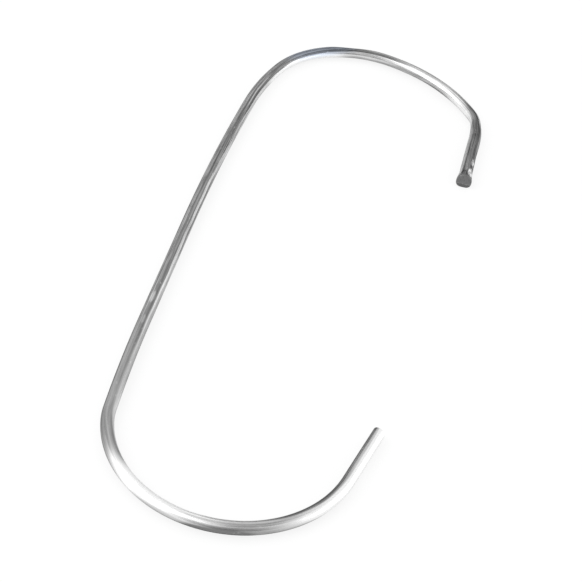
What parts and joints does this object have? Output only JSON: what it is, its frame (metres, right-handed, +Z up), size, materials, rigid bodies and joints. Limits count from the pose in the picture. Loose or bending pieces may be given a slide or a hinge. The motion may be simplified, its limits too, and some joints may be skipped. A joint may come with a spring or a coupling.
{
  "type": "c hook",
  "caption": "Long steel wire hook bent into a C: a wide hook at each end, both open to one side, hangs things from a rail or bar.",
  "frame": {"origin": "under the middle of the hook's outline, on the surface it lies on", "axes": "+Y along the back, towards the upper hook; +X from the back towards the open side; +Z up from the surface it lies on"},
  "size_m": [0.067, 0.1846, 0.0041],
  "materials": {
    "plated_wire": "bright plated drawn wire, satin, with fine lines along the wire"
  },
  "bodies": {
    "root": {"c_hook": "plated_wire"}
  },
  "joints": []
}
